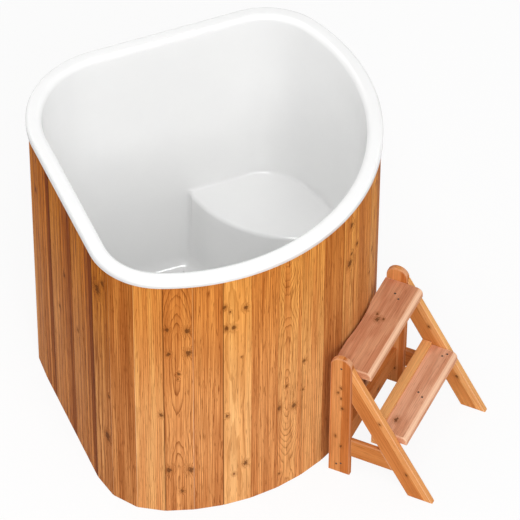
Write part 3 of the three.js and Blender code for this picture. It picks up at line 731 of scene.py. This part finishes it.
# Pieces inside the jacket and on the hidden side
steel, brass, plastic, plywood = brushedStainless(), castBrass(), mouldedPlastic(), gluedPlywood()
fittings = {
    "top_hoop": dict(material=plywood, slot="hoop_plywood", ease=0.8),
    "bottom_hoop": dict(material=plywood, slot="hoop_plywood", ease=0.8),
    "base_bearer_back": dict(material=treatedJoist("base_bearer_back"), slot="bearer_wood", ease=3),
    "base_bearer_front": dict(material=treatedJoist("base_bearer_front"), slot="bearer_wood", ease=3),
    "drain_body": dict(material=plastic, slot="drain_plastic", ease=0.6),
    "drain_pipe": dict(material=plastic, slot="drain_plastic", ease=0.4),
    "drain_strainer": dict(material=steel, slot="strainer_steel", ease=0.6),
    "valve_body": dict(material=brass, slot="valve_brass", ease=0.8),
    "valve_plug": dict(material=brass, slot="valve_brass", ease=0.8, body="drain_cock"),
    "valve_lever": dict(material=steel, slot="lever_steel", ease=1.2, body="drain_cock"),
}


def makeFittings():
    for name, look in fittings.items():
        piece = finishPiece(f"{name}_dressed", easedCopy(name, look["ease"]), look["material"],
                            look.get("body", "tub"), [name])
        keepFacesFlat(piece)


makeFittings()
print("fittings made")


# Phosphated steel: a dull dark crystal coat, so a screw head reads as a dark dot
screwSteelLook = dict(light="#5A4A40", dark="#33291F", grainSize=0.6, roughness=0.5)


def phosphatedSteel():
    material, add, place = newMaterial("phosphated_screw_steel")
    crystal = add("TexVoronoi", {"Vector": place, "Scale": 1 / (screwSteelLook["grainSize"] * mm)})
    coat = ((0.1, screwSteelLook["dark"]), (0.8, screwSteelLook["light"]))
    tone = add("ValToRGB", {"Fac": crystal}, stops=coat)
    gloss = add("MapRange", {"Value": crystal, "To Min": screwSteelLook["roughness"] - 0.1,
                             "To Max": screwSteelLook["roughness"] + 0.1})
    shader = add("BsdfPrincipled", {"Base Color": tone, "Roughness": gloss, "Metallic": 0.6})
    add("OutputMaterial", {"Surface": shader})
    return material


# Countersunk screws of the step unit, in its own frame: x out from the posts' back, y from the middle
screwLook = dict(head=3.6, recess=1.5, proud=0.5, rimFall=0.4, steps=18)
treadScrews = ((55, 147, 466), (74, 129, 466), (207, -5, 233), (226, -19, 233), (214, 168, 233),
               (225, 182, 233))
postScrews = ((37, -222.5, 473), (28, -222.5, 36), (43, -222.5, 44))


def makeScrews():
    bm = bmesh.new()
    look = screwLook
    outline = ((look["head"], 0.05), (look["head"] - look["rimFall"], look["proud"]),
               (look["recess"] + look["rimFall"], look["proud"]), (look["recess"], 0.1), (0, 0.1))
    for places, out in ((treadScrews, upAxis), (postScrews, -sideways)):
        upright = out.to_track_quat("Z", "Y").to_matrix().to_4x4()
        for x, y, z in places:
            before = set(bm.verts)
            chain = [bm.verts.new((a * mm, 0, b * mm)) for a, b in outline]
            edges = [bm.edges.new(pair) for pair in zip(chain, chain[1:])]
            bmesh.ops.spin(bm, geom=chain + edges, cent=(0, 0, 0), axis=upAxis, angle=2 * math.pi,
                           steps=look["steps"], use_merge=True)
            made = [v for v in bm.verts if v not in before]
            seat = unitOrigin + (outwards * x + sideways * y + upAxis * z) * mm
            bmesh.ops.transform(bm, verts=made, matrix=Matrix.Translation(seat) @ upright)
    bmesh.ops.remove_doubles(bm, verts=bm.verts, dist=0.002 * mm)
    bmesh.ops.recalc_face_normals(bm, faces=bm.faces)
    shadeSmooth(bm, 35)
    finishPiece("step_screws", bm, phosphatedSteel(), "steps")


makeScrews()
print("screws driven")


# Floor and light
stageLook = dict(floor="#F7F7F7", floorSize=40, floorGlow=0.9, skyStrength=0.5)
lamps = (
    dict(name="key", place=(2.8, -3.8, 4.2), size=(3.0, 3.0), watts=195),
    dict(name="fill", place=(-2.2, 0.6, 4.4), size=(2.5, 2.5), watts=32),
    dict(name="overhead", place=(0.3, -1.5, 4.3), size=(0.45, 0.45), watts=14),
    dict(name="strip", place=(1.0, -0.95, 4.3), size=(2.4, 0.4), watts=110, glintOnly=True),
)


def seenDirectly(add):
    path = [add("LightPath", output=f"Is {kind} Ray") for kind in ("Camera", "Glossy", "Transmission")]
    seen = add("Math", {0: path[0], 1: path[1]}, operation="MAXIMUM")
    return add("Math", {0: seen, 1: path[2]}, operation="MAXIMUM")


def setStage():
    bm = bmesh.new()
    bmesh.ops.create_grid(bm, x_segments=1, y_segments=1, size=stageLook["floorSize"] / 2)
    mesh = bpy.data.meshes.new("floor")
    bm.to_mesh(mesh)
    bm.free()
    floor = bpy.data.objects.new("floor", mesh)
    bpy.context.scene.collection.objects.link(floor)
    material, add, place = newMaterial("painted_studio_floor")  # even white paint, hardly any sheen
    grit = add("TexNoise", {"Vector": place, "Scale": 40})
    gloss = add("MapRange", {"Value": grit, "To Min": 0.85, "To Max": 0.95})
    paint = add("BsdfPrincipled", {"Base Color": hexColour(stageLook["floor"]), "Roughness": gloss,
                                   "Specular IOR Level": 0.1})
    glow = add("Emission", {"Strength": 1.0})
    share = add("Math", {0: seenDirectly(add), 1: stageLook["floorGlow"]}, operation="MULTIPLY")
    add("OutputMaterial", {"Surface": add("MixShader", {0: share, 1: paint, 2: glow})})
    mesh.materials.append(material)

    world = bpy.data.worlds.new("studio")
    world.use_nodes = True
    bpy.context.scene.world = world
    world.node_tree.nodes.clear()
    add = partial(addNode, world.node_tree)
    light = add("Background", {"Color": (1, 1, 1, 1), "Strength": stageLook["skyStrength"]})
    white = add("Background", {"Color": (1, 1, 1, 1), "Strength": 1.0})
    add("OutputWorld", {"Surface": add("MixShader", {0: seenDirectly(add), 1: light, 2: white})})

    for lamp in lamps:
        light = bpy.data.lights.new(lamp["name"], "AREA")
        light.shape = "RECTANGLE"
        light.size, light.size_y = lamp["size"]
        light.energy = lamp["watts"]
        holder = bpy.data.objects.new(lamp["name"], light)
        holder.visible_diffuse = not lamp.get("glintOnly")
        place = Vector(lamp["place"])
        aim = (place - upAxis * 0.5).to_track_quat("Z", "Y").to_matrix().to_4x4()
        holder.matrix_world = Matrix.Translation(place) @ aim
        bpy.context.scene.collection.objects.link(holder)


setStage()
bpy.context.scene.view_settings.view_transform = "Standard"
print("stage lit")
